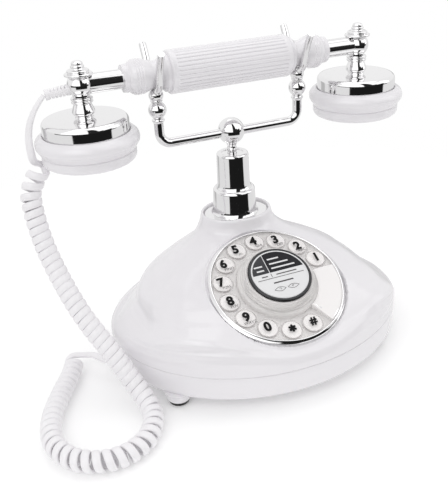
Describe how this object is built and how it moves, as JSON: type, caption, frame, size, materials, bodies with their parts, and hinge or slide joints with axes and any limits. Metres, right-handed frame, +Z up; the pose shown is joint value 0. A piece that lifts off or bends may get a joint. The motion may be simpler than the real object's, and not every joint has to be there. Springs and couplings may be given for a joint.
{
  "type": "cradle telephone",
  "caption": "Desk telephone with an oval base, push-button dial, chrome stem and forked cradle, and a straight handset on a curly cord.",
  "frame": {"origin": "centre of the telephone without its cord, on the table it stands on", "axes": "+X along the handset to the mouthpiece, -Y towards the user and the dial, +Z up"},
  "size_m": [0.2835, 0.1734, 0.2002],
  "materials": {
    "housing_white": "smooth moulded gloss",
    "handset_white": "smooth moulded gloss",
    "chrome": "mirror plating",
    "black_rubber": "matte",
    "screw_steel": "zinc plated",
    "switch_black": "fine grain",
    "circuit_board": "solder mask",
    "ballast_iron": "raw casting",
    "jack_grey": "moulded",
    "dial_white": "polished",
    "clear_plastic": "clear moulded acrylic",
    "redial_ring": "polished, dark under a clear rim",
    "label_print": "printed label under varnish",
    "key_rubber": "soft silicone",
    "cord_white": "soft vinyl"
  },
  "bodies": {
    "base": {"base_housing": "housing_white", "bottom_cover": "housing_white", "rubber_feet": "black_rubber", "cover_screws": "screw_steel", "neck_plate": "chrome", "lower_sleeve": "chrome", "upper_sleeve": "chrome", "hook_spring": "screw_steel", "hook_switch": "switch_black", "main_board": "circuit_board", "ringer_speaker": "switch_black", "ballast_weight": "ballast_iron", "handset_jack": "jack_grey", "line_jack": "switch_black", "dial_bezel": "chrome", "dial_plate": "dial_white", "number_wheel": "clear_plastic", "finger_stop": "dial_white", "dial_collar": "clear_plastic", "key_mat": "key_rubber", "key_board": "circuit_board", "curly_cord": "cord_white", "cord_tail": "cord_white", "handset_plug": "clear_plastic"},
    "plunger": {"plunger_rod": "chrome", "cradle_ball": "chrome", "cradle_bar": "chrome", "left_fork": "chrome", "right_fork": "chrome"},
    "handset": {"handset_grip": "handset_white", "handset_ferrules": "handset_white", "handset_tubes": "chrome", "left_post": "chrome", "right_post": "chrome", "receiver_crown": "chrome", "transmitter_crown": "chrome", "receiver_cup": "handset_white", "transmitter_cup": "handset_white", "receiver_cap": "handset_white", "transmitter_cap": "handset_white", "receiver_capsule": "switch_black", "transmitter_capsule": "switch_black", "strain_relief": "cord_white", "cord_lead": "cord_white"},
    "number_button_1_key": {"number_button_1": "clear_plastic"},
    "number_button_2_key": {"number_button_2": "clear_plastic"},
    "number_button_3_key": {"number_button_3": "clear_plastic"},
    "number_button_4_key": {"number_button_4": "clear_plastic"},
    "number_button_5_key": {"number_button_5": "clear_plastic"},
    "number_button_6_key": {"number_button_6": "clear_plastic"},
    "number_button_7_key": {"number_button_7": "clear_plastic"},
    "number_button_8_key": {"number_button_8": "clear_plastic"},
    "number_button_9_key": {"number_button_9": "clear_plastic"},
    "number_button_10_key": {"number_button_10": "clear_plastic"},
    "number_button_11_key": {"number_button_11": "clear_plastic"},
    "number_button_12_key": {"number_button_12": "clear_plastic"},
    "redial_key": {"redial_button": "redial_ring", "redial_label": "label_print"},
    "ringer_slider": {"ringer_switch": "switch_black"},
    "mode_slider": {"mode_switch": "switch_black"}
  },
  "joints": [
    {"name": "handset_lift", "type": "slide", "parent": "base", "child": "handset", "axis": [0, 0, 1], "range_m": [0, 0.05]},
    {"name": "hook_travel", "type": "slide", "parent": "base", "child": "plunger", "axis": [0, 0, 1], "range_m": [0, 0.005], "deforming": ["hook_spring"]},
    {"name": "press_button_1", "type": "slide", "parent": "base", "child": "number_button_1_key", "axis": [0, 0.4289, -0.9033], "range_m": [0, 0.0015], "stiffness_N_per_m": 900},
    {"name": "press_button_2", "type": "slide", "parent": "base", "child": "number_button_2_key", "axis": [0, 0.4289, -0.9033], "range_m": [0, 0.0015], "stiffness_N_per_m": 900},
    {"name": "press_button_3", "type": "slide", "parent": "base", "child": "number_button_3_key", "axis": [0, 0.4289, -0.9033], "range_m": [0, 0.0015], "stiffness_N_per_m": 900},
    {"name": "press_button_4", "type": "slide", "parent": "base", "child": "number_button_4_key", "axis": [0, 0.4289, -0.9033], "range_m": [0, 0.0015], "stiffness_N_per_m": 900},
    {"name": "press_button_5", "type": "slide", "parent": "base", "child": "number_button_5_key", "axis": [0, 0.4289, -0.9033], "range_m": [0, 0.0015], "stiffness_N_per_m": 900},
    {"name": "press_button_6", "type": "slide", "parent": "base", "child": "number_button_6_key", "axis": [0, 0.4289, -0.9033], "range_m": [0, 0.0015], "stiffness_N_per_m": 900},
    {"name": "press_button_7", "type": "slide", "parent": "base", "child": "number_button_7_key", "axis": [0, 0.4289, -0.9033], "range_m": [0, 0.0015], "stiffness_N_per_m": 900},
    {"name": "press_button_8", "type": "slide", "parent": "base", "child": "number_button_8_key", "axis": [0, 0.4289, -0.9033], "range_m": [0, 0.0015], "stiffness_N_per_m": 900},
    {"name": "press_button_9", "type": "slide", "parent": "base", "child": "number_button_9_key", "axis": [0, 0.4289, -0.9033], "range_m": [0, 0.0015], "stiffness_N_per_m": 900},
    {"name": "press_button_10", "type": "slide", "parent": "base", "child": "number_button_10_key", "axis": [0, 0.4289, -0.9033], "range_m": [0, 0.0015], "stiffness_N_per_m": 900},
    {"name": "press_button_11", "type": "slide", "parent": "base", "child": "number_button_11_key", "axis": [0, 0.4289, -0.9033], "range_m": [0, 0.0015], "stiffness_N_per_m": 900},
    {"name": "press_button_12", "type": "slide", "parent": "base", "child": "number_button_12_key", "axis": [0, 0.4289, -0.9033], "range_m": [0, 0.0015], "stiffness_N_per_m": 900},
    {"name": "press_redial", "type": "slide", "parent": "base", "child": "redial_key", "axis": [0, 0.4289, -0.9033], "range_m": [0, 0.0015], "stiffness_N_per_m": 900},
    {"name": "ringer_slide", "type": "slide", "parent": "base", "child": "ringer_slider", "axis": [1, 0, 0], "range_m": [0, 0.005]},
    {"name": "mode_slide", "type": "slide", "parent": "base", "child": "mode_slider", "axis": [1, 0, 0], "range_m": [0, 0.005]}
  ],
  "couplings": [
    {"joint": "hook_travel", "follows": "handset_lift", "ratio": 0.1}
  ]
}
